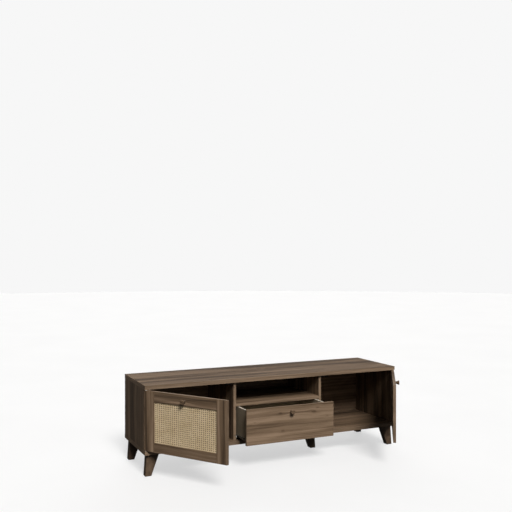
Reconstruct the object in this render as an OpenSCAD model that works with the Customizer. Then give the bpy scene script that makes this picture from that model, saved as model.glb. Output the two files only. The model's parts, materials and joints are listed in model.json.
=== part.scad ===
// Low television stand on six splayed legs: two cane-panelled doors, a middle drawer under an
// open niche. X runs along the width, the front faces -Y, Z is up and the floor is Z = 0. The
// doors stand open and the drawer is part way out, as their opening values say.

/* [Case] */
// Width of the top and bottom panels
width = 1600; // [1300:10:2000]
// Depth of the top and bottom panels
depth = 420; // [340:5:520]
// Height of the top surface above the floor
height = 490; // [430:5:620]
// Thickness of the top and bottom panels
panel_t = 22; // [18:1:30]
// Thickness of the sides, dividers, shelf, doors and drawer front
board_t = 16; // [15:0.1:20]
// Thickness of the back panel
back_t = 3; // [3:1:6]
// Clear width of the middle bay, between the dividers
bay_w = 534; // [430:2:660]
// Clear height below the shelf, for the drawer
drawer_bay_h = 188; // [150:1:230]

/* [Legs] */
// Height of the underside of the case above the floor
leg_h = 120; // [80:1:160]
// Width of a leg where it meets the case
leg_top_w = 70; // [56:1:90]
// Width of a leg at the floor
leg_foot_w = 34; // [26:1:50]
// Thickness of a leg from front to back
leg_t = 38; // [32:1:50]
// How far a leg's foot stands outside its top
leg_splay = 8; // [0:1:20]
// Distance of an end leg's top from the end of the case
leg_end_inset = 16; // [10:1:40]
// Distance of the front legs from the front of the case
leg_front_inset = 21; // [5:1:60]
// Distance of the rear legs from the back of the case
leg_rear_inset = 19; // [5:1:60]
// Distance of the middle legs from the front of the case
leg_mid_inset = 148; // [100:1:170]

/* [Doors] */
// How far the doors stand open, in degrees
door_open = 55.5; // [0:0.5:110]
// Width of the door stiles
stile_w = 64; // [44:1:80]
// Height of a door's top rail
top_rail_w = 57; // [46:1:74]
// Height of a door's bottom rail
bottom_rail_w = 51; // [46:1:74]
// Depth of the cane behind the front of its frame
cane_recess = 4; // [3:1:10]
// Thickness of the cane panel
cane_t = 2; // [1.5:0.1:3]
// Gap above, below and behind the doors and the drawer front
front_gap = 3; // [2.5:0.1:5]
// Distance of a door's outer edge from the end of the case
end_reveal = 3; // [1:0.5:5]
// Gap between a closed door and the drawer front
reveal = 3; // [2:0.5:6]
// Distance of the pivot from a door's outer edge
pivot_inset = 5; // [5:0.5:7]
// Distance of the pivot behind a door's front face
pivot_back = 5.5; // [5:0.5:8]
// Diameter of the pivot pins
pivot_d = 5; // [4:0.1:6]

/* [Drawer] */
// How far the drawer is pulled out
drawer_out = 140; // [0:1:250]
// How far the drawer front covers the edge of the shelf
shelf_cover = 11; // [4:1:13]
// Thickness of the drawer's sides and back
drawer_board_t = 12; // [12:0.1:16]
// Gap between a drawer side and its divider, for the rail
rail_gap = 13; // [12.5:0.1:15]
// Clear space between the drawer's sides and the shelf
drawer_top_gap = 3; // [2:1:10]
// Clear space between the drawer and the bottom panel
drawer_floor_gap = 16; // [16:0.5:20]
// Space behind the closed drawer
drawer_rear_gap = 51; // [20:1:80]
// Diameter of the rail rollers
roller_d = 18; // [15:0.1:22]

/* [Knobs] */
// Length of a knob
knob_l = 25; // [18:1:36]
// Diameter of a knob's front
knob_d = 26; // [20:1:34]
// Diameter of a knob's neck
knob_neck_d = 13; // [11:1:16]
// Distance of the drawer knob below the top of the drawer front
knob_drop = 31; // [18:1:60]
// Distance of a door knob below the top of its door
door_knob_drop = 32; // [20:1:36]

/* [Hidden] */
$fn = 48;

// Case levels and planes; Y = 0 here is the front of the top and bottom panels
floor_z = leg_h + panel_t;              // top of the bottom panel
roof_z = height - panel_t;              // underside of the top panel
case_front = board_t + front_gap;       // front edges of sides, dividers and shelf
case_back = depth - back_t;             // their back edges
case_depth = case_back - case_front;
case_h = roof_z - floor_z;
bay_x = bay_w / 2;                      // inner face of a divider
divider_x = bay_x + board_t;            // outer face of a divider
side_x = width / 2 - board_t;           // inner face of a side
shelf_z = floor_z + drawer_bay_h;
back_clear = 0.5;                       // gap round the back panel
end_clear = 1;                          // back panel short of the case's ends

// Doors, closed, on the left of the case
door_x = -(width / 2 - end_reveal);     // outer edge
door_end = -(bay_x + board_t / 2 + reveal / 2);
door_w = door_end - door_x;
door_z = floor_z + front_gap;
door_h = case_h - 2 * front_gap;
open_w = door_w - 2 * stile_w;
open_h = door_h - top_rail_w - bottom_rail_w;
rabbet = 8;                             // width of the step that holds the cane
rabbet_clear = 0.5;
bead_t = board_t - cane_recess - cane_t;
pivot = [door_x + pivot_inset, pivot_back];

// Pivot hardware
pivot_fit = 0.05;                       // radial running clearance
bush_wall = 1.4;
bush_d = pivot_d + 2 * (pivot_fit + bush_wall);
bush_l = 12;
flange_d = bush_d + 1.4;
flange_gap = 0.2;                       // between a bush flange and its plate
pin_l = front_gap + bush_l - 1;
plate_l = 32;
plate_w = 9;
plate_t = 2;
plate_screw = 20;                       // pivot to the plate's screw

// Reach of the open front, which centres the model on Y = 0
door_reach = (door_w - pivot_inset) * sin(door_open) + pivot_back * cos(door_open) - pivot_back;
front_reach = max(door_reach, drawer_out + knob_l, knob_l);
front_y = (front_reach - depth) / 2;

// Drawer, closed
drawer_front_x = bay_x + board_t / 2 - reveal / 2;
drawer_front_h = drawer_bay_h + shelf_cover - front_gap;
drawer_x = bay_x - rail_gap;            // outer face of a drawer side
drawer_z = floor_z + drawer_floor_gap;
drawer_top = shelf_z - drawer_top_gap;
drawer_rear = case_back - drawer_rear_gap;
drawer_l = drawer_rear - board_t;
bottom_t = 3;
bottom_lift = 10;                       // drawer bottom above the lower edges of the sides
groove = 6;                             // depth of the grooves that hold it
bottom_z = drawer_z + bottom_lift;
drawer_knob_z = floor_z + front_gap + drawer_front_h - knob_drop;

// Roller rails
steel_t = 1.2;
roller_w = 7;
roller_side_gap = 1.2;                  // between a roller and the cabinet rail's web
roller_x = bay_x - steel_t - roller_side_gap - roller_w / 2;   // middle of a roller
roller_clear = 0.1;
axle_d = 4;
axle_fit = 0.05;
channel_lift = 4;
channel_z = floor_z + channel_lift;     // underside of the cabinet rail
rear_roller_z = channel_z + steel_t + roller_clear + roller_d / 2;
channel_h = 2 * steel_t + roller_d + 4 * roller_clear;
track_gap = 1.2;
track_z = channel_z + channel_h + track_gap;       // underside of the drawer rail's track
front_roller_z = track_z - roller_clear - roller_d / 2;
roller_end = 14;                        // axles from the ends of their rails
front_roller_y = case_front + roller_end;
rear_roller_y = drawer_rear - roller_end;
channel_y = front_roller_y + roller_d / 2 + 3;     // where the channel's flanges start
rail_l = drawer_rear - case_front;
track_w = rail_gap - 2 * steel_t - 1.6;
axle_end = 0.6;                         // front axle past its roller
rail_screw_inset = 70;
rail_screw_y = [rail_screw_inset, rail_l - rail_screw_inset];   // from the front of the rail

// Fixings
screw_d = 4;
screw_l = 14;
screw_head_d = 7;
screw_head_h = 1;
dowel_d = 8;
dowel_l = 30;
dowel_in_panel = 12;
dowel_inset = 60;                       // dowels from a board's front and back edges
cam_d = 15;
cam_h = 12.5;
cam_reach = 34;                         // cam centre from the joint
cam_inset = 96;                         // cams from a board's front and back edges
cam_bolt_d = 6;
cam_hole_d = 7.4;
cam_thread_l = 12;
leg_bolt_d = 8;
leg_bolt_l = 42;
insert_d = 12;
insert_l = 14;
leg_bolt_y = 10;                        // leg bolts each side of the leg's middle
leg_bolt_x = 6;                         // and outwards from the middle of its top
glide_d = 22;
glide_t = 2;
glide_pin_d = 5;
glide_pin_l = 14;
knob_screw_d = 4;
knob_screw_in = 12;
knob_head_d = 9;
knob_head_h = 2;
door_dowel_d = 6;
door_dowel_l = 36;
door_dowel_z = 11;                      // door dowels each side of a rail's middle
drawer_dowel_d = 6;
drawer_dowel_l = 30;
drawer_dowel_in = 11;
drawer_dowel_skin = 3;                  // wood left outside a rear dowel
drawer_dowel_z = 20;                    // drawer dowels from the box's top and bottom
catch_size = [44, 18, 12];
catch_setback = 2;                      // catch behind the case's front edges
catch_screw_x = 15;                     // catch screws each side of its middle
catch_bar = [6, 7];                     // width and height of its steel bars
strike = [36, 1, 11];
strike_drop = 2;                        // strike plate below the top of its door
strike_gap = 0.4;
bumper_d = 5;
bumper_t = front_gap - 0.3;
bumper_inset = 24;                      // bumpers from the top and bottom of their edge

walnut = [0.42, 0.33, 0.26];
walnut_edge = [0.55, 0.45, 0.36];
cane_tone = [0.72, 0.63, 0.50];
laminate = [0.45, 0.42, 0.36];
fibreboard = [0.36, 0.29, 0.23];
steel = [0.70, 0.70, 0.72];
zinc = [0.62, 0.62, 0.60];
beech = [0.80, 0.68, 0.50];
nylon = [0.88, 0.87, 0.84];
black = [0.12, 0.12, 0.12];

// A box from its lowest corner to its highest
module span(a, b) translate(a) cube(b - a);

// The case's own place, with its front at front_y
module in_case() translate([0, front_y, 0]) children();

// Both ends of the case, or both sides of the middle
module both_ends() {
    children();
    mirror([1, 0, 0]) children();
}

module on_left_door() in_case()
    translate([pivot.x, pivot.y, 0]) rotate([0, 0, -door_open]) translate([-pivot.x, -pivot.y, 0])
        children();
module on_right_door() mirror([1, 0, 0]) on_left_door() children();
module on_drawer() in_case() translate([0, -drawer_out, 0]) children();

// ---- Case joints -------------------------------------------------------------------------
// Depths at which boards are dowelled and cammed
function board_ys(inset) = [case_front + inset, case_back - inset];
// The four upright boards' middles, with the side of each that its cams are let into
uprights = [[-side_x - board_t / 2, 1], [-bay_x - board_t / 2, -1],
            [bay_x + board_t / 2, 1], [side_x + board_t / 2, -1]];

module upright_dowels()
    for (u = uprights, y = board_ys(dowel_inset))
        translate([u[0], y, 0]) {
            translate([0, 0, floor_z - dowel_in_panel]) cylinder(h = dowel_l, d = dowel_d);
            translate([0, 0, roof_z + dowel_in_panel - dowel_l]) cylinder(h = dowel_l, d = dowel_d);
        }

module shelf_dowels()
    both_ends() for (y = board_ys(dowel_inset))
        translate([bay_x - dowel_l + board_t / 2, y, shelf_z + board_t / 2])
            rotate([0, 90, 0]) cylinder(h = dowel_l, d = dowel_d);

// Cam positions on the uprights: middle of the joint line and the way the cam's bolt runs
module at_cams()
    for (u = uprights, y = board_ys(cam_inset), end = [0, 1])
        translate([u[0], y, end == 0 ? floor_z : roof_z]) mirror([0, 0, end])
            mirror([u[1] > 0 ? 0 : 1, 0, 0]) children();

module at_shelf_cams()
    both_ends() for (y = board_ys(cam_inset))
        translate([bay_x, y, shelf_z + board_t / 2]) rotate([0, -90, 0]) children();

module cam_pocket() {
    cylinder(h = cam_reach, d = cam_hole_d);
    translate([board_t / 2 - cam_h, 0, cam_reach]) rotate([0, 90, 0]) cylinder(h = cam_h + 1, d = cam_d);
}

module cam_lock() difference() {
    translate([board_t / 2 - cam_h, 0, cam_reach]) rotate([0, 90, 0]) cylinder(h = cam_h, d = cam_d);
    translate([0, 0, cam_reach - cam_d]) cylinder(h = cam_d + 3, d = cam_hole_d);
    span([board_t / 2 - 1.5, -0.8, cam_reach - 4.5], [board_t / 2 + 1, 0.8, cam_reach + 4.5]);
    span([board_t / 2 - 1.5, -4.5, cam_reach - 0.8], [board_t / 2 + 1, 4.5, cam_reach + 0.8]);
}

// length is how far the bolt's thread goes into the other board
module cam_bolt(length) translate([0, 0, -length]) cylinder(h = length + cam_reach, d = cam_bolt_d);

// ---- Screws, pins and their holes --------------------------------------------------------
// A pan-head screw whose head stands on Z = 0 and whose thread runs down
module wood_screw() {
    cylinder(h = screw_head_h, d = screw_head_d);
    translate([0, 0, -screw_l]) cylinder(h = screw_l, d = screw_d);
}

// A longer one, through the body of a catch
module catch_screw() {
    cylinder(h = screw_head_h, d = screw_head_d);
    translate([0, 0, -catch_size.z - screw_l]) cylinder(h = catch_size.z + screw_l, d = screw_d);
}

module rail_screws() both_ends() for (y = rail_screw_y)
    translate([bay_x - steel_t, case_front + y, channel_z + channel_h / 2])
        rotate([0, -90, 0]) wood_screw();

module pivot_screws() both_ends() for (end = [0, 1])
    translate([pivot.x + plate_screw, pivot.y, end == 0 ? floor_z : roof_z]) mirror([0, 0, end])
        wood_screw();

module catch_screws() both_ends() for (side = [-1, 1])
    translate([catch_mid.x + side * catch_screw_x, catch_mid.y, roof_z - catch_size.z])
        mirror([0, 0, 1]) catch_screw();

// ---- Case panels -------------------------------------------------------------------------
catch_y = case_front + catch_setback;
catch_mid = [min(door_end - stile_w / 2, -divider_x - catch_size.x / 2), catch_y + catch_size.y / 2];
bar_y = board_t + strike.y + strike_gap;

// The plate's round-ended shape about the pivot, h high
module pivot_blank(h) {
    cylinder(h = h, r = plate_w / 2);
    translate([0, -plate_w / 2, 0]) cube([plate_l - plate_w / 2, plate_w, h]);
}
module pivot_recess() translate([pivot.x, pivot.y, 0]) pivot_blank(plate_t + 1);

module top_panel() color(walnut) in_case() difference() {
    span([-width / 2, 0, roof_z], [width / 2, depth, height]);
    upright_dowels();
    at_cams() cam_bolt(cam_thread_l);
    both_ends() translate([0, 0, roof_z - 1]) pivot_recess();
    pivot_screws();
    catch_screws();
}

module bottom_panel() color(walnut) in_case() difference() {
    span([-width / 2, 0, leg_h], [width / 2, depth, floor_z]);
    upright_dowels();
    at_cams() cam_bolt(cam_thread_l);
    both_ends() translate([0, 0, floor_z - plate_t]) pivot_recess();
    pivot_screws();
    leg_insert_group();
}

module side_board() difference() {
    span([side_x, case_front, floor_z], [width / 2, case_back, roof_z]);
    upright_dowels();
    at_cams() cam_pocket();
}
module left_side() color(walnut) in_case() mirror([1, 0, 0]) side_board();
module right_side() color(walnut) in_case() side_board();

module divider_board() difference() {
    span([bay_x, case_front, floor_z], [divider_x, case_back, roof_z]);
    upright_dowels();
    shelf_dowels();
    at_cams() cam_pocket();
    at_shelf_cams() cam_bolt(cam_thread_l);
    rail_screws();
}
module left_divider() color(walnut) in_case() mirror([1, 0, 0]) divider_board();
module right_divider() color(walnut) in_case() divider_board();

module shelf() color(walnut) in_case() difference() {
    span([-bay_x, case_front, shelf_z], [bay_x, case_back, shelf_z + board_t]);
    shelf_dowels();
    at_shelf_cams() mirror([1, 0, 0]) cam_pocket();
}

module back_panel() color(fibreboard) in_case()
    span([end_clear - width / 2, case_back, floor_z + back_clear],
         [width / 2 - end_clear, depth, roof_z - back_clear]);

// ---- Legs --------------------------------------------------------------------------------
// Outer top corner and front of each right-hand leg
end_leg_x = width / 2 - leg_end_inset;
mid_leg_x = bay_x + board_t / 2 + leg_top_w / 2;
front_leg_y = leg_front_inset;
rear_leg_y = depth - leg_rear_inset - leg_t;

// The middle of a leg's foot and of its bolts, from its outer top corner
foot_mid = leg_splay - leg_foot_w / 2;
bolt_mid = leg_bolt_x - leg_top_w / 2;

module at_leg_bolts() for (dy = [-leg_bolt_y, leg_bolt_y])
    translate([bolt_mid, leg_t / 2 + dy, leg_h]) children();

module leg_bolt() translate([0, 0, -leg_bolt_l]) cylinder(h = leg_bolt_l + insert_l, d = leg_bolt_d);

module leg_insert() difference() {
    cylinder(h = insert_l, d = insert_d);
    translate([0, 0, -1]) cylinder(h = insert_l + 2, d = leg_bolt_d);
}

module foot_glide() {
    cylinder(h = glide_t, d = glide_d);
    cylinder(h = glide_t + glide_pin_l, d = glide_pin_d);
}

module leg() difference() {
    rotate([90, 0, 0]) translate([0, 0, -leg_t]) linear_extrude(height = leg_t)
        polygon([[0, leg_h], [-leg_top_w, leg_h], [leg_splay - leg_foot_w, glide_t],
                 [leg_splay, glide_t]]);
    at_leg_bolts() leg_bolt();
    translate([foot_mid, leg_t / 2, 0]) foot_glide();
}

leg_places = [[end_leg_x, front_leg_y], [end_leg_x, rear_leg_y], [mid_leg_x, leg_mid_inset]];
module at_leg(i) in_case() translate([leg_places[i].x, leg_places[i].y, 0]) children();
module at_legs() both_ends() for (p = leg_places) translate([p.x, p.y, 0]) children();

module front_left_leg() color(walnut) mirror([1, 0, 0]) at_leg(0) leg();
module front_right_leg() color(walnut) at_leg(0) leg();
module rear_left_leg() color(walnut) mirror([1, 0, 0]) at_leg(1) leg();
module rear_right_leg() color(walnut) at_leg(1) leg();
module middle_left_leg() color(walnut) mirror([1, 0, 0]) at_leg(2) leg();
module middle_right_leg() color(walnut) at_leg(2) leg();
module leg_bolts() color(zinc) in_case() at_legs() at_leg_bolts() leg_bolt();
module leg_insert_group() at_legs() at_leg_bolts() cylinder(h = insert_l, d = insert_d);
module leg_inserts() color(zinc) in_case() at_legs() at_leg_bolts() leg_insert();
module foot_glides() color(black) in_case() at_legs()
    translate([foot_mid, leg_t / 2, 0]) foot_glide();

// ---- Fixings in the case -----------------------------------------------------------------
module case_dowels() color(beech) in_case() {
    upright_dowels();
    shelf_dowels();
}
module cam_locks() color(zinc) in_case() {
    at_cams() cam_lock();
    at_shelf_cams() mirror([1, 0, 0]) cam_lock();
}
module cam_bolts() color(steel) in_case() {
    at_cams() cam_bolt(cam_thread_l);
    at_shelf_cams() cam_bolt(cam_thread_l);
}
module case_screws() color(steel) in_case() {
    rail_screws();
    pivot_screws();
    catch_screws();
}

// A plate let flush into the panel, with the pin that the door turns on
module pivot_plate() translate([pivot.x, pivot.y, 0]) difference() {
    union() {
        translate([0, 0, -plate_t]) pivot_blank(plate_t);
        cylinder(h = pin_l, d = pivot_d);
    }
    translate([plate_screw, 0, -plate_t - 1]) cylinder(h = plate_t + 2, d = screw_d);
}
module pivot_plates() color(steel) in_case() both_ends() {
    translate([0, 0, floor_z]) pivot_plate();
    translate([0, 0, roof_z]) mirror([0, 0, 1]) pivot_plate();
}

module door_catches() color(black) in_case() both_ends() difference() {
    union() {
        translate([catch_mid.x - catch_size.x / 2, catch_y, roof_z - catch_size.z]) cube(catch_size);
        // two steel bars that reach forward to the strike plate
        for (side = [-1, 1])
            translate([catch_mid.x + side * catch_screw_x / 2 - catch_bar.x / 2, bar_y,
                       roof_z - catch_size.z + 2])
                cube([catch_bar.x, catch_y - bar_y + 1, catch_bar.y]);
    }
    catch_screws();
}

// Bumpers on the dividers' front edges, for the doors and for the drawer front
module front_bumpers() color(nylon) in_case() both_ends() {
    for (z = [door_z + bumper_inset, door_z + door_h - bumper_inset])
        translate([(divider_x - door_end) / 2, case_front, z]) rotate([90, 0, 0])
            cylinder(h = bumper_t, d = bumper_d);
    for (z = [door_z + bumper_inset, door_z + drawer_front_h - bumper_inset])
        translate([(bay_x + drawer_front_x) / 2, case_front, z]) rotate([90, 0, 0])
            cylinder(h = bumper_t, d = bumper_d);
}

// A channel on the divider, open to the drawer, with the front roller's axle ahead of it
module cabinet_rail() difference() {
    union() {
        span([bay_x - steel_t, case_front, channel_z], [bay_x, case_front + rail_l, channel_z + channel_h]);
        for (z = [channel_z, channel_z + channel_h - steel_t])
            span([roller_x - roller_w / 2, channel_y, z],
                 [bay_x, case_front + rail_l, z + steel_t]);
        translate([roller_x - roller_w / 2 - axle_end, front_roller_y, front_roller_z])
            rotate([0, 90, 0]) cylinder(h = bay_x - roller_x + roller_w / 2, d = axle_d);
    }
    rail_screws();
}
module cabinet_rails() color(nylon) in_case() both_ends() cabinet_rail();

module roller() rotate([0, 90, 0]) difference() {
    translate([0, 0, -roller_w / 2]) cylinder(h = roller_w, d = roller_d);
    translate([0, 0, -roller_w]) cylinder(h = 2 * roller_w, d = axle_d + 2 * axle_fit);
}
module front_right_roller() color(nylon) in_case()
    translate([roller_x, front_roller_y, front_roller_z]) roller();
module front_left_roller() mirror([1, 0, 0]) front_right_roller();
module rear_right_roller() color(nylon) on_drawer()
    translate([roller_x, rear_roller_y, rear_roller_z]) roller();
module rear_left_roller() mirror([1, 0, 0]) rear_right_roller();

// ---- Doors, as the left one, closed ------------------------------------------------------
open_x = door_x + stile_w;
open_z = door_z + bottom_rail_w;

// The step round the opening, at the back, that takes the cane and its beads
module rabbet_cut() span([open_x - rabbet, cane_recess, open_z - rabbet],
                         [open_x + open_w + rabbet, board_t + 1, open_z + open_h + rabbet]);

module door_dowels() for (x = [open_x, open_x + open_w],
                          z = [door_z + bottom_rail_w / 2, door_z + door_h - top_rail_w / 2],
                          dz = [-door_dowel_z, door_dowel_z])
    translate([x - door_dowel_l / 2, board_t / 2, z + dz]) rotate([0, 90, 0])
        cylinder(h = door_dowel_l, d = door_dowel_d);

module at_bushes() for (end = [0, 1])
    translate([pivot.x, pivot.y, end == 0 ? door_z : door_z + door_h]) mirror([0, 0, end]) children();

module strike_plate()
    translate([catch_mid.x - strike.x / 2, board_t, door_z + door_h - strike_drop - strike.z])
        cube(strike);

module hinge_stile() difference() {
    span([door_x, 0, door_z], [open_x, board_t, door_z + door_h]);
    rabbet_cut();
    door_dowels();
    at_bushes() translate([0, 0, -1]) cylinder(h = bush_l + 1, d = bush_d);
}
module free_stile() difference() {
    span([open_x + open_w, 0, door_z], [door_end, board_t, door_z + door_h]);
    rabbet_cut();
    door_dowels();
}
module bottom_rail() difference() {
    span([open_x, 0, door_z], [open_x + open_w, board_t, open_z]);
    rabbet_cut();
    door_dowels();
}
module top_rail() difference() {
    span([open_x, 0, open_z + open_h], [open_x + open_w, board_t, door_z + door_h]);
    rabbet_cut();
    door_dowels();
    at_door_knob() knob_screw();
}
module cane() span([open_x - rabbet + rabbet_clear, cane_recess, open_z - rabbet + rabbet_clear],
                   [open_x + open_w + rabbet - rabbet_clear, cane_recess + cane_t,
                    open_z + open_h + rabbet - rabbet_clear]);

// Four strips that hold the cane in its step
module beads() difference() {
    span([open_x - rabbet, cane_recess + cane_t, open_z - rabbet],
         [open_x + open_w + rabbet, board_t, open_z + open_h + rabbet]);
    span([open_x, 0, open_z], [open_x + open_w, board_t + 1, open_z + open_h]);
}

module bushes() at_bushes() difference() {
    union() {
        cylinder(h = bush_l, d = bush_d);
        translate([0, 0, flange_gap - front_gap]) cylinder(h = front_gap - flange_gap, d = flange_d);
    }
    translate([0, 0, -front_gap - 1]) cylinder(h = front_gap + bush_l + 2, d = pivot_d + 2 * pivot_fit);
}

// A turned knob standing on Y = 0 and pointing to -Y
module knob() rotate([90, 0, 0]) difference() {
    rotate_extrude() polygon([[0, 0], [knob_neck_d / 2 + 1, 0], [knob_neck_d / 2 + 1, 1],
        [knob_neck_d / 2, 2], [knob_neck_d / 2, 4], [knob_d / 2 - 1, knob_l - 5],
        [knob_d / 2, knob_l - 3.5], [knob_d / 2, knob_l - 1.2], [knob_d / 2 - 1.2, knob_l],
        [0, knob_l]]);
    translate([0, 0, -1]) cylinder(h = knob_screw_in + 1, d = knob_screw_d);
}
// Its screw, from behind a board of the front's thickness
module knob_screw() translate([0, board_t, 0]) rotate([90, 0, 0]) {
    cylinder(h = board_t + knob_screw_in, d = knob_screw_d);
    translate([0, 0, -knob_head_h]) cylinder(h = knob_head_h, d = knob_head_d);
}
module at_door_knob()
    translate([door_x + door_w / 2, 0, door_z + door_h - door_knob_drop]) children();

module left_door_hinge_stile() color(walnut) on_left_door() hinge_stile();
module left_door_free_stile() color(walnut) on_left_door() free_stile();
module left_door_top_rail() color(walnut) on_left_door() top_rail();
module left_door_bottom_rail() color(walnut) on_left_door() bottom_rail();
module left_door_cane() color(cane_tone) on_left_door() cane();
module left_door_beads() color(walnut_edge) on_left_door() beads();
module left_door_dowels() color(beech) on_left_door() door_dowels();
module left_door_bushes() color(nylon) on_left_door() bushes();
module left_door_strike() color(steel) on_left_door() strike_plate();
module left_door_knob() color(walnut_edge) on_left_door() at_door_knob() knob();
module left_door_knob_screw() color(steel) on_left_door() at_door_knob() knob_screw();
module right_door_hinge_stile() color(walnut) on_right_door() hinge_stile();
module right_door_free_stile() color(walnut) on_right_door() free_stile();
module right_door_top_rail() color(walnut) on_right_door() top_rail();
module right_door_bottom_rail() color(walnut) on_right_door() bottom_rail();
module right_door_cane() color(cane_tone) on_right_door() cane();
module right_door_beads() color(walnut_edge) on_right_door() beads();
module right_door_dowels() color(beech) on_right_door() door_dowels();
module right_door_bushes() color(nylon) on_right_door() bushes();
module right_door_strike() color(steel) on_right_door() strike_plate();
module right_door_knob() color(walnut_edge) on_right_door() at_door_knob() knob();
module right_door_knob_screw() color(steel) on_right_door() at_door_knob() knob_screw();

// ---- Drawer, closed ----------------------------------------------------------------------
module at_drawer_knob() translate([0, 0, drawer_knob_z]) children();

module drawer_dowel_group() both_ends()
    for (z = [bottom_z + bottom_t + drawer_dowel_z, drawer_top - drawer_dowel_z])
        translate([drawer_x - drawer_board_t / 2, board_t - drawer_dowel_in, z])
            rotate([-90, 0, 0]) cylinder(h = drawer_dowel_l, d = drawer_dowel_d);

module drawer_back_dowels() both_ends()
    for (z = [bottom_z + bottom_t + drawer_dowel_z, drawer_top - drawer_dowel_z])
        translate([drawer_x - drawer_dowel_skin - drawer_dowel_l, drawer_rear - drawer_board_t / 2, z])
            rotate([0, 90, 0]) cylinder(h = drawer_dowel_l, d = drawer_dowel_d);

module bottom_slot() span([groove - drawer_x - drawer_board_t, board_t - groove, bottom_z],
                          [drawer_x + drawer_board_t - groove, drawer_rear + 1, bottom_z + bottom_t]);

module drawer_side() difference() {
    span([drawer_x - drawer_board_t, board_t, drawer_z], [drawer_x, drawer_rear, drawer_top]);
    span([0, 0, bottom_z], [drawer_x - drawer_board_t + groove, drawer_rear + 1, bottom_z + bottom_t]);
    drawer_dowel_group();
    drawer_back_dowels();
}
module drawer_left_side() color(laminate) on_drawer() mirror([1, 0, 0]) drawer_side();
module drawer_right_side() color(laminate) on_drawer() drawer_side();

module drawer_front() color(walnut) on_drawer() difference() {
    span([-drawer_front_x, 0, door_z], [drawer_front_x, board_t, door_z + drawer_front_h]);
    span([drawer_board_t - groove - drawer_x, board_t - groove, bottom_z],
         [drawer_x - drawer_board_t + groove, board_t + 1, bottom_z + bottom_t]);
    drawer_dowel_group();
    at_drawer_knob() knob_screw();
}

module drawer_back() color(laminate) on_drawer() difference() {
    span([drawer_board_t - drawer_x, drawer_rear - drawer_board_t, bottom_z + bottom_t],
         [drawer_x - drawer_board_t, drawer_rear, drawer_top]);
    drawer_back_dowels();
}

module drawer_bottom() color(laminate) on_drawer()
    span([drawer_board_t - groove - drawer_x, board_t - groove, bottom_z],
         [drawer_x - drawer_board_t + groove, drawer_rear, bottom_z + bottom_t]);

module drawer_knob() color(walnut_edge) on_drawer() at_drawer_knob() knob();
module drawer_knob_screw() color(steel) on_drawer() at_drawer_knob() knob_screw();
module drawer_dowels() color(beech) on_drawer() {
    drawer_dowel_group();
    drawer_back_dowels();
}

// An angle under the drawer side, with a track over the front roller and the rear axle
module drawer_rail() {
    span([drawer_x - drawer_board_t, board_t, drawer_z - steel_t],
         [drawer_x + steel_t, drawer_rear, drawer_z]);
    span([drawer_x, board_t, drawer_z - steel_t], [drawer_x + steel_t, drawer_rear, track_z + steel_t]);
    span([drawer_x, board_t, track_z], [drawer_x + steel_t + track_w, drawer_rear, track_z + steel_t]);
    span([drawer_x, rear_roller_y - axle_d, rear_roller_z - axle_d],
         [drawer_x + steel_t, rear_roller_y + axle_d, drawer_z]);
    translate([drawer_x, rear_roller_y, rear_roller_z]) rotate([0, 90, 0])
        cylinder(h = roller_x + roller_w / 2 - drawer_x, d = axle_d);
}
module drawer_rails() color(nylon) on_drawer() both_ends() drawer_rail();

top_panel();
bottom_panel();
left_side();
right_side();
left_divider();
right_divider();
shelf();
back_panel();
front_left_leg();
front_right_leg();
rear_left_leg();
rear_right_leg();
middle_left_leg();
middle_right_leg();
leg_bolts();
leg_inserts();
foot_glides();
case_dowels();
cam_locks();
cam_bolts();
case_screws();
pivot_plates();
door_catches();
front_bumpers();
cabinet_rails();
left_door_hinge_stile();
left_door_free_stile();
left_door_top_rail();
left_door_bottom_rail();
left_door_cane();
left_door_beads();
left_door_dowels();
left_door_bushes();
left_door_strike();
left_door_knob();
left_door_knob_screw();
right_door_hinge_stile();
right_door_free_stile();
right_door_top_rail();
right_door_bottom_rail();
right_door_cane();
right_door_beads();
right_door_dowels();
right_door_bushes();
right_door_strike();
right_door_knob();
right_door_knob_screw();
drawer_front();
drawer_left_side();
drawer_right_side();
drawer_back();
drawer_bottom();
drawer_knob();
drawer_knob_screw();
drawer_dowels();
drawer_rails();
front_left_roller();
front_right_roller();
rear_left_roller();
rear_right_roller();
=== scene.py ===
import json
import math

import bmesh
import bpy
from mathutils import Matrix, Vector

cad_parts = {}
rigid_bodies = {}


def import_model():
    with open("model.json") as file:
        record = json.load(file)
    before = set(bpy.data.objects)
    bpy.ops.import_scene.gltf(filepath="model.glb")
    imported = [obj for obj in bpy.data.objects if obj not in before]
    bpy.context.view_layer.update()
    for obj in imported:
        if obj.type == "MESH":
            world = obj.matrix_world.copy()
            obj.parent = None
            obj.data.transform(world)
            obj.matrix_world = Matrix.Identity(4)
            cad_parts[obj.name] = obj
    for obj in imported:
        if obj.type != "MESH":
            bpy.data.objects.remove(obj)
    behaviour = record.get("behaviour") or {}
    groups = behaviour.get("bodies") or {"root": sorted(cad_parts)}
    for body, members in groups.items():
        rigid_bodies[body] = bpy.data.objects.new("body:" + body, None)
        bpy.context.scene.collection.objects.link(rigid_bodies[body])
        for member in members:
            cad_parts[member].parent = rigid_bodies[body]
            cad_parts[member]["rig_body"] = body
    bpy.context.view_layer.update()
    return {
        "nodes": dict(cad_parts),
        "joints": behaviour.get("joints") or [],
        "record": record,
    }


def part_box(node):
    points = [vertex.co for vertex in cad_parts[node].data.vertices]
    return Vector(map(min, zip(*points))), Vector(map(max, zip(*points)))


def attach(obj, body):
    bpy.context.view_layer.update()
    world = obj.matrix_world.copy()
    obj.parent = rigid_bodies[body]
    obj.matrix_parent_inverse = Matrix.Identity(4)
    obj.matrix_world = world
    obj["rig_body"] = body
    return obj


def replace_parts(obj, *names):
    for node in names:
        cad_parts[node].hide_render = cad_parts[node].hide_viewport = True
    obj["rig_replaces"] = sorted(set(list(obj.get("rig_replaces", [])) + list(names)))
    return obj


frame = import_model()
nodes = frame["nodes"]
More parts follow.
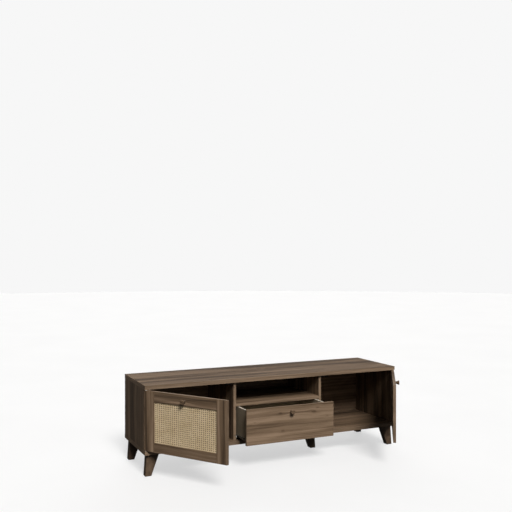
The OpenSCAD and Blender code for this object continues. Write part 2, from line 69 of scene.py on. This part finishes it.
joints = {j["name"]: j for j in frame["joints"]}


class Signal:  # a socket's value, for writing shader sums as plain expressions
    def __init__(self, tree, socket):
        self.tree, self.socket = tree, socket

    def node(self, kind, inputs, out=0, stops=None, **settings):
        made = self.tree.nodes.new(kind)
        for name, value in settings.items():
            setattr(made, name, value)
        if stops:
            ramp = made.color_ramp
            ramp.elements.remove(ramp.elements[1])
            (ramp.elements[0].position, first), *others = stops
            ramp.elements[0].color = (*first, 1)
            for place, colour in others:
                ramp.elements.new(place).color = (*colour, 1)
        for name, value in inputs.items():
            self.join(made.inputs[name], value)
        return Signal(self.tree, made.outputs[out])

    def join(self, socket, value):
        if isinstance(value, Signal):
            self.tree.links.new(value.socket, socket)
        else:
            socket.default_value = value

    def sum(self, operation, a, b=0.0):
        return self.node("ShaderNodeMath", {0: a, 1: b}, operation=operation)

    def __add__(self, other):
        return self.sum("ADD", self, other)

    def __radd__(self, other):
        return self.sum("ADD", other, self)

    def __sub__(self, other):
        return self.sum("SUBTRACT", self, other)

    def __rsub__(self, other):
        return self.sum("SUBTRACT", other, self)

    def __mul__(self, other):
        return self.sum("MULTIPLY", self, other)

    def __rmul__(self, other):
        return self.sum("MULTIPLY", other, self)

    def vector(self, operation, other):
        return self.node("ShaderNodeVectorMath", {0: self, 1: other}, operation=operation)

    def length(self):
        return self.node("ShaderNodeVectorMath", {0: self}, out=1, operation="LENGTH")

    def part(self, axis):  # 0, 1 or 2: one number of a vector
        return self.node("ShaderNodeSeparateXYZ", {"Vector": self}, out=axis)

    def noise(self, size, detail=3.0, rough=0.5):  # size is one cell's, in metres
        return self.node("ShaderNodeTexNoise", {
            "Vector": self.vector("MULTIPLY", [1 / s for s in size]), "Scale": 1.0,
            "Detail": detail, "Roughness": rough})

    def between(self, low, high, toLow=0.0, toHigh=1.0):  # smooth step from low to high
        return self.node("ShaderNodeMapRange", {
            "Value": self, "From Min": low, "From Max": high, "To Min": toLow, "To Max": toHigh},
            interpolation_type="SMOOTHSTEP")

    def ramp(self, *stops):
        return self.node("ShaderNodeValToRGB", {"Fac": self}, stops=stops)

    def mix(self, a, b, blend="MIX"):  # colour a where this is 0, b where it is 1
        a, b = (c if isinstance(c, Signal) else (*c, 1) for c in (a, b))
        return self.node("ShaderNodeMix", {0: self, 6: a, 7: b}, out=2, data_type="RGBA",
                         blend_type=blend)


def newFinish(name, centre=(0, 0, 0), turn=(0, 0, 0), **fixed):
    material = bpy.data.materials.new(name)
    material.use_nodes = True
    tree = material.node_tree
    shader = tree.nodes["Principled BSDF"]
    for socket, value in fixed.items():
        shader.inputs[socket.replace("_", " ")].default_value = value
    point = Signal(tree, tree.nodes.new("ShaderNodeTexCoord").outputs["Object"])
    point = point.node("ShaderNodeMapping", {
        "Vector": point, "Location": centre, "Rotation": turn}, vector_type="TEXTURE")
    return material, shader, point


def feed(shader, bump=None, depth=0.0003, strength=0.5, **signals):
    for name, value in signals.items():
        value.join(shader.inputs[name.replace("_", " ")], value)
    if bump:
        bump.join(shader.inputs["Normal"], bump.node("ShaderNodeBump", {
            "Height": bump, "Distance": depth, "Strength": strength}))


# a board's own directions: x along the grain, y through its thickness, z across it
half = math.pi / 2
along = {"flat": (half, 0, 0), "tall": (0, -half, -half), "deep": (0, 0, half)}

walnutLook = {
    "tones": ((0.0, (0.017, 0.0105, 0.0062)), (0.24, (0.056, 0.0355, 0.0208)),
              (0.50, (0.122, 0.0795, 0.0480)), (0.74, (0.186, 0.1250, 0.0790)),
              (1.0, (0.248, 0.172, 0.113))),
    "run": 1.1,  # how far a streak keeps going along the grain
    "wander": 0.030,  # how far the grain strays to the side
    "band": 0.050, "streak": 0.013, "line": 0.0040,  # widths across the grain, coarse to fine
    "fibre": (0.07, 0.02, 0.0013), "pore": (0.011, 0.004, 0.0006),  # cells along, through, across
    "share": {"band": 1.5, "streak": 1.5, "line": 0.9, "fibre": 0.45, "ring": 0.28, "pore": 0.12},
    "contrast": 1.0, "shift": 0.0,
    "gloss": 0.28, "rough": 0.5, "relief": 0.00025, "reliefStrength": 0.4,
    "grey": (0.92, 0.96, 0.96), "greyPatch": (0.6, 0.3, 0.06), "greyMost": 0.5,  # faded patches
    "rings": 0.35, "ringCount": 13.0, "ringWidth": 0.13,  # the arches of a flat-sawn board
    "knots": (), "knotDepth": 0.27,  # each knot's place along and across, and its size
    "knotLength": 2.0, "knotRagged": 0.9,
    "partedBy": 0.7, "partedOver": 3.0, "partedLength": 0.45,  # how the grain parts round a knot
    "shades": (),  # darker bands: across, half width, strength, rise per metre
}
seedStep = (7.31, 3.17, 5.73)  # moves each board to its own place in the figure


def walnut(name, centre=(0, 0, 0), turn=(0, 0, 0), seed=0.0, **changes):
    look = {**walnutLook, **changes}
    material, shader, point = newFinish(name, centre, turn, Specular_IOR_Level=look["gloss"])
    run, share = look["run"], look["share"]
    grain = point.vector("ADD", [seed * step for step in seedStep])
    # each noise cell is given along the grain, through the board and across the grain
    wander = (grain.noise((run * 0.4, 0.3, 0.20), detail=2.0) - 0.5) * look["wander"]
    for away, across, size in look["knots"]:
        gap = point.vector("SUBTRACT", (away, 0, across))
        reach = gap.vector("MULTIPLY", (look["partedLength"], 0, 1.0)).length()
        near = reach.between(size * look["partedOver"], 0.0)
        wander = wander - gap.part(2) * near * look["partedBy"]
    sideways = grain.node("ShaderNodeCombineXYZ", {"X": 0.0, "Y": 0.0, "Z": wander})
    grain = grain.vector("ADD", sideways)
    broad = grain.noise((run, 0.4, look["band"]), detail=2.0)
    streaks = grain.noise((run * 0.55, 0.1, look["streak"]), detail=4.0, rough=0.6)
    lines = grain.noise((run * 0.3, 0.05, look["line"]), detail=3.0, rough=0.6)
    fibres = grain.noise(look["fibre"], detail=3.0, rough=0.6)
    pores = grain.noise(look["pore"], detail=1.0).between(0.62, 0.72)
    contour = grain.noise((run * 0.8, 0.5, look["ringWidth"]), detail=1.0)
    contour = contour * (math.tau * look["ringCount"])
    rings = contour.sum("SINE", contour) * 0.5
    tone = ((broad - 0.5) * share["band"] + (streaks - 0.5) * share["streak"]
            + (lines - 0.5) * share["line"] + (fibres - 0.5) * share["fibre"]
            + rings * (look["rings"] * share["ring"]))
    tone = tone * look["contrast"] + (0.5 + look["shift"])
    tone = tone - pores * share["pore"]
    for across, reach, strength, rise in look["shades"]:
        place = grain.part(2) - (seed * seedStep[2] + across) - point.part(0) * rise
        tone = tone - place.sum("ABSOLUTE", place).between(reach, 0.0) * strength
    for away, across, size in look["knots"]:
        gap = point.vector("SUBTRACT", (away, 0, across))
        reach = gap.vector("MULTIPLY", (1 / look["knotLength"], 0, 1.0)).length()
        ragged = reach + (streaks - 0.5) * size * look["knotRagged"]
        tone = tone - ragged.between(size, size * 0.15) * look["knotDepth"]
    colour = tone.ramp(*look["tones"])
    faded = grain.noise(look["greyPatch"], detail=2.0).between(0.35, 0.7, 0.0, look["greyMost"])
    colour = faded.mix(colour, faded.mix(colour, look["grey"], "MULTIPLY"))
    feed(shader, bump=fibres * 0.5 + lines * 0.5 - pores * 0.9,
         depth=look["relief"], strength=look["reliefStrength"],
         Base_Color=colour, Roughness=(streaks * 0.16 + pores * 0.2) + (look["rough"] - 0.08))
    return material


edgeLook = {  # the thin banding glued along a board's edges
    "tones": ((0.0, (0.077, 0.050, 0.030)), (0.24, (0.121, 0.081, 0.051)),
              (0.50, (0.176, 0.120, 0.077)), (0.74, (0.227, 0.158, 0.104)),
              (1.0, (0.280, 0.200, 0.135))),
    "run": 0.6, "band": 0.022, "streak": 0.006, "line": 0.0022, "contrast": 0.7, "rings": 0.0}


def edging(name, turn=(0, 0, 0), seed=0.0):
    return walnut(name, turn=turn, seed=seed, **edgeLook)


weld, flatAngle = 2e-6, 0.6  # how close two points and how level two faces are to be joined


def joined(name):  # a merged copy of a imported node's mesh
    shape = bmesh.new()
    shape.from_mesh(nodes[name].data)
    bmesh.ops.remove_doubles(shape, verts=shape.verts, dist=weld)
    bmesh.ops.dissolve_limit(shape, angle_limit=math.radians(flatAngle), verts=shape.verts,
                             edges=shape.edges)
    return shape


def roundEdges(shape, edges, radius, segments):
    bmesh.ops.bevel(shape, geom=edges, offset=radius, offset_type="OFFSET", affect="EDGES",
                    segments=segments, profile=0.5, material=-1, clamp_overlap=True)


def soften(shape, radius, segments=2, longerThan=0.012, sharperThan=50):
    edges = [e for e in shape.edges if len(e.link_faces) == 2 and e.calc_length() > longerThan
             and e.calc_face_angle_signed(0) > math.radians(sharperThan)]
    roundEdges(shape, edges, radius, segments)


def makePiece(name, shape, body, materials, slot, smooth=None, stands=()):
    mesh = bpy.data.meshes.new(name)
    shape.to_mesh(mesh)
    shape.free()
    for material in materials:
        mesh.materials.append(material)
    if smooth:
        mesh.shade_smooth()
        mesh.set_sharp_from_angle(angle=math.radians(smooth))
    piece = bpy.data.objects.new(name, mesh)
    bpy.context.scene.collection.objects.link(piece)
    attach(piece, body)
    if stands:
        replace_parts(piece, *stands)


def bodyOf(name):
    return nodes[name]["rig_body"]


def slotOf(name):
    return next(s["material_slot"] for s in frame["record"]["subparts"] if s["node"] == name)


def middle(name):
    low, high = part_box(name)
    return (low + high) / 2


def board(name, face, edge, isEdge, radius=0.0007, shape=None):  # isEdge picks banded faces
    if shape is None:
        shape = joined(name)
    soften(shape, radius)
    for f in shape.faces:
        f.material_index = 1 if isEdge(f) else 0
    makePiece(name + "_board", shape, bodyOf(name), [face, edge], slotOf(name), stands=[name])


def rim(direction):  # every face but the two broad ones, whose normals run along direction
    return lambda f: abs(f.normal.dot(direction)) < 0.72


acrossX, acrossY, acrossZ = Vector((1, 0, 0)), Vector((0, 1, 0)), Vector((0, 0, 1))

# the case
edgeAlong = edging("walnut_edge_along", seed=1)
edgeTall = edging("walnut_edge_tall", turn=along["tall"], seed=2)
caseBoards = {  # the way through each board's thickness, and its look
    # the top panel's lighter shift and the side panels' darker shift are painted light: lit and
    # shaded tones of one walnut
    "top_panel": (acrossZ, {"seed": 3.2, "contrast": 0.95, "shift": 0.05}),
    "bottom_panel": (acrossZ, {"seed": 4.7, "contrast": 0.85, "shift": -0.06}),
    "shelf": (acrossZ, {"seed": 5.1, "contrast": 0.85, "shift": 0.05}),
    "left_side": (acrossX, {"seed": 6.4, "contrast": 0.9, "shift": -0.03}),
    "right_side": (acrossX, {"seed": 7.3, "contrast": 0.9, "shift": -0.03}),
    "left_divider": (acrossX, {"seed": 8.6, "contrast": 0.85}),
    "right_divider": (acrossX, {"seed": 9.9, "contrast": 0.85, "shift": 0.03})}
for name, (through, look) in caseBoards.items():
    lies = through == acrossZ
    face = walnut("walnut_" + name, middle(name), along["flat" if lies else "tall"], **look)
    board(name, face, edgeAlong if lies else edgeTall, rim(through))

backLook = {"fluff": 0.0035, "cloud": 0.12, "dark": (0.15, 0.095, 0.055),
            "light": (0.27, 0.18, 0.11),
            # the inside's shift is painted light: it lifts the back panel's front face, standing in
            # for light reaching the back of the bays
            "inside": {"seed": 11.3, "contrast": 0.8, "shift": 0.14}}


def rawFibreboard():
    material, shader, point = newFinish("raw_fibreboard", Specular_IOR_Level=0.2)
    fluff = point.noise([backLook["fluff"]] * 3, detail=5.0, rough=0.7)
    cloud = point.noise([backLook["cloud"]] * 3, detail=2.0)
    tone = fluff * 0.6 + cloud * 0.4
    feed(shader, bump=fluff, depth=0.0003, strength=0.4, Roughness=fluff * 0.2 + 0.7,
         Base_Color=tone.ramp((0.3, backLook["dark"]), (0.7, backLook["light"])))
    return material


shape = joined("back_panel")
for f in shape.faces:
    f.material_index = 0 if f.normal.y < -0.5 else 1  # walnut faces the front
inside = walnut("walnut_back", middle("back_panel"), **backLook["inside"])
makePiece("back_panel_sheet", shape, "case", [inside, rawFibreboard()], slotOf("back_panel"),
          stands=["back_panel"])
print("case boards done")

legLook = {
    "tones": ((0.0, (0.014, 0.0085, 0.0053)), (0.24, (0.034, 0.0215, 0.013)),
              (0.50, (0.067, 0.043, 0.027)), (0.74, (0.104, 0.069, 0.044)),
              (1.0, (0.140, 0.096, 0.062))),
    "run": 0.4, "band": 0.022, "streak": 0.007, "line": 0.0025, "contrast": 0.85, "rough": 0.4,
    "rings": 0.3}
legRounding = 0.0018
for i, name in enumerate(sorted(n for n in nodes if n.endswith("_leg"))):
    shape = joined(name)
    soften(shape, legRounding, segments=3, longerThan=0.02)
    stain = walnut("stained_" + name, middle(name), along["tall"], seed=20 + i, **legLook)
    makePiece(name + "_block", shape, "case", [stain], slotOf(name), stands=[name])
print("legs done")

# the doors, whose pieces are shaped as if closed and then swung to where they stand
doorTurn = {side: math.radians(joints[side + "_door_hinge"]["range_deg"][0]) * sign
            for side, sign in (("left", 1), ("right", -1))}


def swing(side):
    hinge = Vector(joints[side + "_door_hinge"]["pos_m"])
    turned = Matrix.Rotation(doorTurn[side], 4, "Z")
    return Matrix.Translation(hinge) @ turned @ Matrix.Translation(-hinge)


def extreme(points, pick):  # pick is min or max
    return Vector([pick(p[i] for p in points) for i in range(3)])


def boxOf(name, placing):  # a node's corners before placing carries it to where it is
    back = placing.inverted()
    points = [back @ v.co for v in nodes[name].data.vertices]
    return extreme(points, min), extreme(points, max)


caneLook = {
    "acrossPitch": 0.0122, "upPitch": 0.0104,  # between the middles of two pairs of strands
    "strand": 0.0028, "thick": 0.0005, "gap": 0.0003,  # gap is between the two of a pair
    "lift": 0.00045, "crown": 0.0002, "steps": 4, "smooth": 60,
    "tones": ((0.34, (0.43, 0.320, 0.180)), (0.50, (0.585, 0.458, 0.285)),
              (0.66, (0.71, 0.58, 0.395)))}


def strand(shape, length, pitch, start, flip):  # one strand along X, over and under
    count = max(2, round(length / pitch * caneLook["steps"]))
    made = bmesh.ops.create_grid(shape, x_segments=count, y_segments=2, size=0.5)["verts"]
    for v in made:
        place = (v.co.x + 0.5) * length
        crown = caneLook["crown"] * (1 - (2 * v.co.y) ** 2)
        wave = math.sin(math.pi * (place - start) / pitch) * flip * caneLook["lift"]
        v.co = Vector((place, v.co.y * caneLook["strand"], wave + crown))
    faces = list({f for v in made for f in v.link_faces})
    bmesh.ops.solidify(shape, geom=faces, thickness=caneLook["thick"])


def weave(side):
    low, high = boxOf(side + "_door_cane", swing(side))
    size = high - low
    shape = bmesh.new()
    pairStep = (caneLook["strand"] + caneLook["gap"]) / 2
    pitches = caneLook["acrossPitch"], caneLook["upPitch"]
    swap = Matrix(((0, 1, 0, 0), (1, 0, 0, 0), (0, 0, 1, 0), (0, 0, 0, 1)))  # X and Y change places
    for length, width, pitch, step, standing in ((size.x, size.z, *pitches, False),
                                                 (size.z, size.x, *pitches[::-1], True)):
        rows = int(width / step)
        firstRow = (width - (rows - 1) * step) / 2
        firstCross = (length - (int(length / pitch) - 1) * pitch) / 2
        for row in range(rows):
            flip = (1 if row % 2 else -1) * (-1 if standing else 1)
            for offset in (-pairStep, pairStep):
                before = set(shape.verts)
                strand(shape, length, pitch, firstCross - pitch / 2, flip)
                new = [v for v in shape.verts if v not in before]
                up = firstRow + row * step + offset
                bmesh.ops.translate(shape, verts=new, vec=(0, up, 0))
                if standing:
                    bmesh.ops.transform(shape, verts=new, matrix=swap)
    upright = Matrix.Rotation(half, 4, "X")
    corner = Matrix.Translation((low.x, (low.y + high.y) / 2, low.z))
    bmesh.ops.transform(shape, verts=shape.verts, matrix=swing(side) @ corner @ upright)
    bmesh.ops.recalc_face_normals(shape, faces=shape.faces)
    return shape


def strawFinish():
    material, shader, point = newFinish("cane_straw", Specular_IOR_Level=0.4)
    strands = point.noise((0.012, 0.012, 0.010), detail=2.0)
    fibres = point.noise((0.0011, 0.0011, 0.0011), detail=4.0, rough=0.65)
    patches = point.noise((0.08, 0.08, 0.06), detail=2.0)
    tone = strands * 0.3 + fibres * 0.45 + patches * 0.25
    feed(shader, bump=fibres, depth=0.0001, strength=0.35, Roughness=fibres * 0.25 + 0.38,
         Base_Color=tone.ramp(*caneLook["tones"]))
    return material


backingLook = {"thick": 0.0003, "thread": 0.0012, "stretch": 6,  # of a thread along its length
               "dark": (0.105, 0.072, 0.042), "light": (0.165, 0.118, 0.072)}


def clothFinish():
    material, shader, point = newFinish("cane_backing_cloth", Specular_IOR_Level=0.15)
    thread = backingLook["thread"]
    run = thread * backingLook["stretch"]
    weft = point.noise((run, run, thread), detail=2.0)
    warp = point.noise((thread, thread, run), detail=2.0)
    cloth = (weft + warp) * 0.5
    feed(shader, bump=cloth, depth=0.0002, strength=0.5, Roughness=cloth * 0.15 + 0.78,
         Base_Color=cloth.ramp((0.35, backingLook["dark"]), (0.65, backingLook["light"])))
    return material


def backing(side):  # the thin brown cloth that closes the back of the cane
    low, high = boxOf(side + "_door_cane", swing(side))
    shape = bmesh.new()
    bmesh.ops.create_grid(shape, x_segments=1, y_segments=1, size=0.5)
    bmesh.ops.solidify(shape, geom=shape.faces[:], thickness=backingLook["thick"])
    top = max(v.co.z for v in shape.verts)
    for v in shape.verts:
        v.co = Vector((low.x + (v.co.x + 0.5) * (high.x - low.x), high.y - (top - v.co.z),
                       low.z + (v.co.y + 0.5) * (high.z - low.z)))
    bmesh.ops.transform(shape, verts=shape.verts, matrix=swing(side))
    bmesh.ops.recalc_face_normals(shape, faces=shape.faces)
    return shape


doorBoards = {"hinge_stile": {"seed": 33.2, "tall": True, "shift": -0.01},
              "free_stile": {"seed": 34.9, "tall": True, "shift": 0.05},
              "top_rail": {"seed": 35.6, "tall": False, "shift": 0.06},
              "bottom_rail": {"seed": 36.1, "tall": False, "shift": 0.02}}
doorLook = {"band": 0.034, "contrast": 0.72, "rings": 0.2}
doorRounding = 0.0006  # of its outer edges and the beads
lipLook = {  # the rounded lip of each frame board, next to the cane
    "radius": 0.0032, "segments": 4,
    "paleFrom": 0.016, "paleReach": 0.010, "pale": 0.17,  # a pale line beside it
    # painted shade: the dark strip along the lip's inner edge, where the recess round the cane lies
    # in shade
    "darkReach": 0.005, "dark": 0.10}
levelWith = 0.0006  # a face or edge this near to one of the door's sides lies on it
straw, cloth = strawFinish(), clothFinish()
for side in ("left", "right"):
    turn, tag = doorTurn[side], side + "_door_"
    back = swing(side).inverted()
    ways = {True: (0, -half, turn), False: (0, 0, turn)}
    bands = {tall: edging(tag + ("edge_tall" if tall else "edge_along"), turn=ways[tall],
                          seed=31 + tall) for tall in ways}
    corners = [boxOf(tag + name, swing(side)) for name in doorBoards]
    doorLow = extreme([low for low, high in corners], min)
    doorHigh = extreme([high for low, high in corners], max)

    def outerRim(f):  # the door's own outside, not the reveals round the cane
        place = back @ f.calc_center_median()
        return any(place[i] < doorLow[i] + levelWith or place[i] > doorHigh[i] - levelWith
                   for i in (0, 2))

    for (name, look), (low, high) in zip(doorBoards.items(), corners):
        axis = 0 if look["tall"] else 2
        inward = 1 if (low + high)[axis] < (doorLow + doorHigh)[axis] else -1
        inner = (high if inward > 0 else low)[axis]
        lip = (high - low)[axis] / 2 * inward  # across the board, from its middle
        lip = -lip if look["tall"] else lip
        # the pale line, then the painted shade strip along the inner edge beside the cane
        shades = [(lip * (1 - lipLook["paleFrom"] / abs(lip)), lipLook["paleReach"],
                   -lipLook["pale"], 0.0),
                  (lip, lipLook["darkReach"], lipLook["dark"], 0.0)]
        face = walnut("walnut_" + tag + name, middle(tag + name), ways[look["tall"]],
                      seed=look["seed"] + (side == "right") * 9, shift=look["shift"],
                      shades=shades, **doorLook)
        shape = joined(tag + name)
        lipEdges = [e for e in shape.edges if all(
            abs(v[axis] - inner) < levelWith and v.y < doorLow.y + levelWith
            for v in (back @ end.co for end in e.verts))]
        roundEdges(shape, lipEdges, lipLook["radius"], lipLook["segments"])
        board(tag + name, face, bands[look["tall"]], outerRim, doorRounding, shape)
    shape = joined(tag + "beads")
    soften(shape, doorRounding)
    makePiece(tag + "bead_frame", shape, tag[:-1], [bands[False]], slotOf(tag + "beads"),
              stands=[tag + "beads"])
    makePiece(tag + "cane_weave", weave(side), tag[:-1], [straw], slotOf(tag + "cane"),
              smooth=caneLook["smooth"], stands=[tag + "cane"])
    makePiece(tag + "cane_backing", backing(side), tag[:-1], [cloth], slotOf(tag + "cane"))
print("doors done")

knobLook = {  # distance from the board and radius, as shares of the knob's length and width
    "profile": [(0.0, 0.0), (0.0, 0.575), (0.03, 0.575), (0.055, 0.54), (0.075, 0.50),
                (0.16, 0.50), (0.30, 0.575), (0.50, 0.72), (0.70, 0.865), (0.82, 0.945),
                (0.87, 0.985), (0.91, 1.0), (0.95, 0.99), (0.98, 0.95), (0.993, 0.88),
                (1.0, 0.70), (1.0, 0.0)],
    "steps": 56, "smooth": 35,
    "wood": {"band": 0.012, "streak": 0.004, "line": 0.0015, "run": 0.12, "contrast": 0.9,
             "rough": 0.38, "rings": 0.0}}
turnedWood = walnut("turned_walnut", turn=along["deep"], seed=41, **knobLook["wood"])


def knob(name, placing):  # placing carries a closed front to where it stands
    low, high = boxOf(name, placing)
    radius, length = (high.x - low.x) / 2, high.y - low.y
    shape = bmesh.new()
    line = [shape.verts.new((share * radius, 0, out * length))
            for out, share in knobLook["profile"]]
    edges = [shape.edges.new(pair) for pair in zip(line, line[1:])]
    bmesh.ops.spin(shape, geom=line + edges, cent=(0, 0, 0), axis=(0, 0, 1), dvec=(0, 0, 0),
                   angle=math.tau, steps=knobLook["steps"], use_merge=True, use_duplicate=False)
    bmesh.ops.remove_doubles(shape, verts=shape.verts, dist=weld)
    bmesh.ops.recalc_face_normals(shape, faces=shape.faces)
    foot = Matrix.Translation(((low.x + high.x) / 2, high.y, (low.z + high.z) / 2))
    forward = Matrix.Rotation(half, 4, "X")
    bmesh.ops.transform(shape, verts=shape.verts, matrix=placing @ foot @ forward)
    makePiece(name + "_turned", shape, bodyOf(name), [turnedWood], slotOf(name),
              smooth=knobLook["smooth"], stands=[name])


for side in ("left", "right"):
    knob(side + "_door_knob", swing(side))
knob("drawer_knob", Matrix.Identity(4))
print("knobs done")

drawerFrontLook = {
    "seed": 51.4, "contrast": 0.76, "shift": 0.13,
    "knots": [(-0.054, -0.036, 0.0075), (0.145, 0.053, 0.011), (0.167, 0.073, 0.009),
              (0.232, 0.022, 0.006), (-0.068, 0.063, 0.009), (-0.224, 0.025, 0.006)],
    "knotDepth": 0.20,
    "shades": [(0.056, 0.020, 0.17, 0.01), (0.002, 0.012, 0.10, -0.02),
               (-0.018, 0.009, 0.11, -0.01), (-0.035, 0.011, 0.05, 0.02)]}
board("drawer_front", walnut("walnut_drawer_front", middle("drawer_front"), **drawerFrontLook),
      edgeAlong, rim(acrossY))

drawerBoxLook = {
    "boards": {"drawer_left_side": acrossX, "drawer_right_side": acrossX, "drawer_back": acrossY,
               "drawer_bottom": acrossZ},
    "linen": 0.0012, "linenRun": 0.02,  # a thread's width and how long it shows
    "dark": (0.240, 0.198, 0.140), "light": (0.345, 0.288, 0.208),
    "edgeDark": (0.50, 0.45, 0.37), "edgeLight": (0.66, 0.60, 0.51)}


def greyLaminate():
    material, shader, point = newFinish("grey_laminate", Specular_IOR_Level=0.4)
    thread, run = drawerBoxLook["linen"], drawerBoxLook["linenRun"]
    linen = (point.noise((run, thread, thread), detail=2.0)
             + point.noise((thread, run, run), detail=2.0)) * 0.5
    tone = linen * 0.6 + point.noise((0.15, 0.15, 0.05), detail=2.0) * 0.4
    feed(shader, bump=linen, depth=0.0001, strength=0.3, Roughness=linen * 0.25 + 0.4,
         Base_Color=tone.ramp((0.3, drawerBoxLook["dark"]), (0.7, drawerBoxLook["light"])))
    return material


def paleEdge():
    material, shader, point = newFinish("pale_drawer_edge", Specular_IOR_Level=0.45)
    lines = point.noise((0.08, 0.08, 0.002), detail=3.0)
    feed(shader, bump=lines, depth=0.0001, strength=0.2, Roughness=lines * 0.2 + 0.35,
         Base_Color=lines.ramp((0.3, drawerBoxLook["edgeDark"]), (0.7, drawerBoxLook["edgeLight"])))
    return material


laminate, pale = greyLaminate(), paleEdge()
for name, through in drawerBoxLook["boards"].items():
    board(name, laminate, pale, rim(through), radius=0.0005)
print("drawer done")


def metal(name, colour, rough):
    material, shader, point = newFinish(name, Metallic=1.0)
    wear = point.noise((0.004, 0.0006, 0.004), detail=3.0)
    stain = point.noise((0.03, 0.03, 0.03), detail=3.0)
    feed(shader, bump=wear, depth=0.00005, strength=0.3,
         Roughness=wear * 0.1 + stain * 0.12 + rough,
         Base_Color=stain.ramp((0.3, [c * 0.82 for c in colour]), (0.7, colour)))
    return material


def moulded(name, colour, rough, **fixed):
    material, shader, point = newFinish(name, **fixed)
    sand = point.noise((0.0008, 0.0008, 0.0008), detail=2.0)
    cloud = point.noise((0.02, 0.02, 0.02), detail=2.0)
    feed(shader, bump=sand, depth=0.00006, strength=0.3, Roughness=sand * 0.15 + rough,
         Base_Color=cloud.ramp((0.3, [c * 0.85 for c in colour]), (0.7, colour)))
    return material


beechLook = {
    "tones": ((0.0, (0.35, 0.22, 0.12)), (0.24, (0.43, 0.28, 0.16)), (0.50, (0.52, 0.36, 0.22)),
              (0.74, (0.60, 0.44, 0.28)), (1.0, (0.66, 0.50, 0.34))),
    "band": 0.01, "streak": 0.003, "line": 0.0012, "run": 0.1, "contrast": 0.5, "rings": 0.0}
finishes = {
    "steel": metal("plated_steel", (0.60, 0.60, 0.61), 0.22),
    "zinc": metal("bronzed_zinc", (0.12, 0.095, 0.075), 0.42),
    "rail_enamel": moulded("rail_enamel", (0.045, 0.043, 0.040), 0.3, Coat_Weight=0.3),
    "nylon": moulded("white_nylon", (0.66, 0.65, 0.60), 0.42),
    "black_plastic": moulded("black_plastic", (0.018, 0.018, 0.019), 0.42),
    "brown_rubber": moulded("brown_rubber", (0.10, 0.068, 0.047), 0.6),
    "beech": walnut("beech_dowel", turn=along["deep"], seed=61, **beechLook)}
pressed = {"cabinet_rails", "drawer_rails", "door_catches", "pivot_plates"}
pressedLook = {"radius": 0.0003, "longerThan": 0.004}  # their rounded edges
fittingSmooth = 32
done = {n for o in bpy.data.objects for n in o.get("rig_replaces", [])}
for name in sorted(set(nodes) - done):
    shape = joined(name)
    if name in pressed:
        soften(shape, **pressedLook)
    makePiece(name + "_part", shape, bodyOf(name), [finishes[slotOf(name)]], slotOf(name),
              smooth=fittingSmooth, stands=[name])
print("fittings done")

roomLook = {
    "floor": (0.31, 0.31, 0.31), "floorGlow": 0.58, "backdrop": 0.93, "reach": 20,  # in metres
    "lamps": {  # where each comes from, its softness in degrees, its strength and its colour
        "key": ((-0.08, -0.68, 0.60), 20, 3.9, (1.0, 0.985, 0.965)),
        "rim": ((0.45, 1.0, 0.42), 40, 1.1, (0.97, 0.985, 1.0))},
    "skyLow": 0.03, "skyHigh": 0.24}


def stagePiece(name, shape, material):  # lit and seen, but throws nothing back on the stand
    mesh = bpy.data.meshes.new(name)
    shape.to_mesh(mesh)
    shape.free()
    mesh.materials.append(material)
    piece = bpy.data.objects.new(name, mesh)
    bpy.context.scene.collection.objects.link(piece)
    piece.visible_diffuse = piece.visible_glossy = False
    return piece


white, black = (1, 1, 1, 1), (0, 0, 0, 1)
material, shader, point = newFinish("pale_floor", Specular_IOR_Level=0.2, Emission_Color=white,
                                    Emission_Strength=roomLook["floorGlow"])
cloud = point.noise((0.8, 0.8, 0.8), detail=3.0)
lighter = [c + 0.02 for c in roomLook["floor"]]
feed(shader, Roughness=cloud * 0.1 + 0.75,
     Base_Color=cloud.ramp((0.3, roomLook["floor"]), (0.7, lighter)))
shape = bmesh.new()
bmesh.ops.create_circle(shape, cap_ends=True, segments=64, radius=roomLook["reach"])
stagePiece("floor", shape, material)

material, shader, point = newFinish("white_backdrop", Base_Color=black, Specular_IOR_Level=0.0,
                                    Emission_Color=white,
                                    Emission_Strength=roomLook["backdrop"])
shape = bmesh.new()
bmesh.ops.create_uvsphere(shape, u_segments=48, v_segments=24, radius=roomLook["reach"])
bmesh.ops.reverse_faces(shape, faces=shape.faces)
backdrop = stagePiece("backdrop", shape, material)
backdrop.visible_shadow = backdrop.visible_transmission = False

for name, (comesFrom, spread, power, colour) in roomLook["lamps"].items():
    light = bpy.data.lights.new(name, "SUN")
    light.angle, light.energy, light.color = math.radians(spread), power, colour
    lamp = bpy.data.objects.new(name, light)
    lamp.rotation_euler = (-Vector(comesFrom)).to_track_quat("-Z", "Y").to_euler()
    lamp.visible_glossy = name == "key"  # the rim leaves no glare on the top
    bpy.context.scene.collection.objects.link(lamp)

world = bpy.data.worlds.new("studio")
world.use_nodes = True
sky = Signal(world.node_tree, world.node_tree.nodes.new("ShaderNodeTexCoord").outputs["Generated"])
background = world.node_tree.nodes["Background"]
background.inputs["Color"].default_value = white
glow = sky.part(2).between(-0.3, 0.3, roomLook["skyLow"], roomLook["skyHigh"])
glow.join(background.inputs["Strength"], glow)
bpy.context.scene.world = world
bpy.context.scene.view_settings.view_transform = "Standard"

view = {"place": (-1.84624, -3.65877, 1.17713), "turn": -24.836, "lens": 50, "sensor": 36}
lens = bpy.data.cameras.new("camera")
lens.lens, lens.sensor_width = view["lens"], view["sensor"]
camera = bpy.data.objects.new("camera", lens)
camera.location = view["place"]
camera.rotation_euler = (half, 0, math.radians(view["turn"]))
bpy.context.scene.collection.objects.link(camera)
bpy.context.scene.camera = camera
print("room ready")
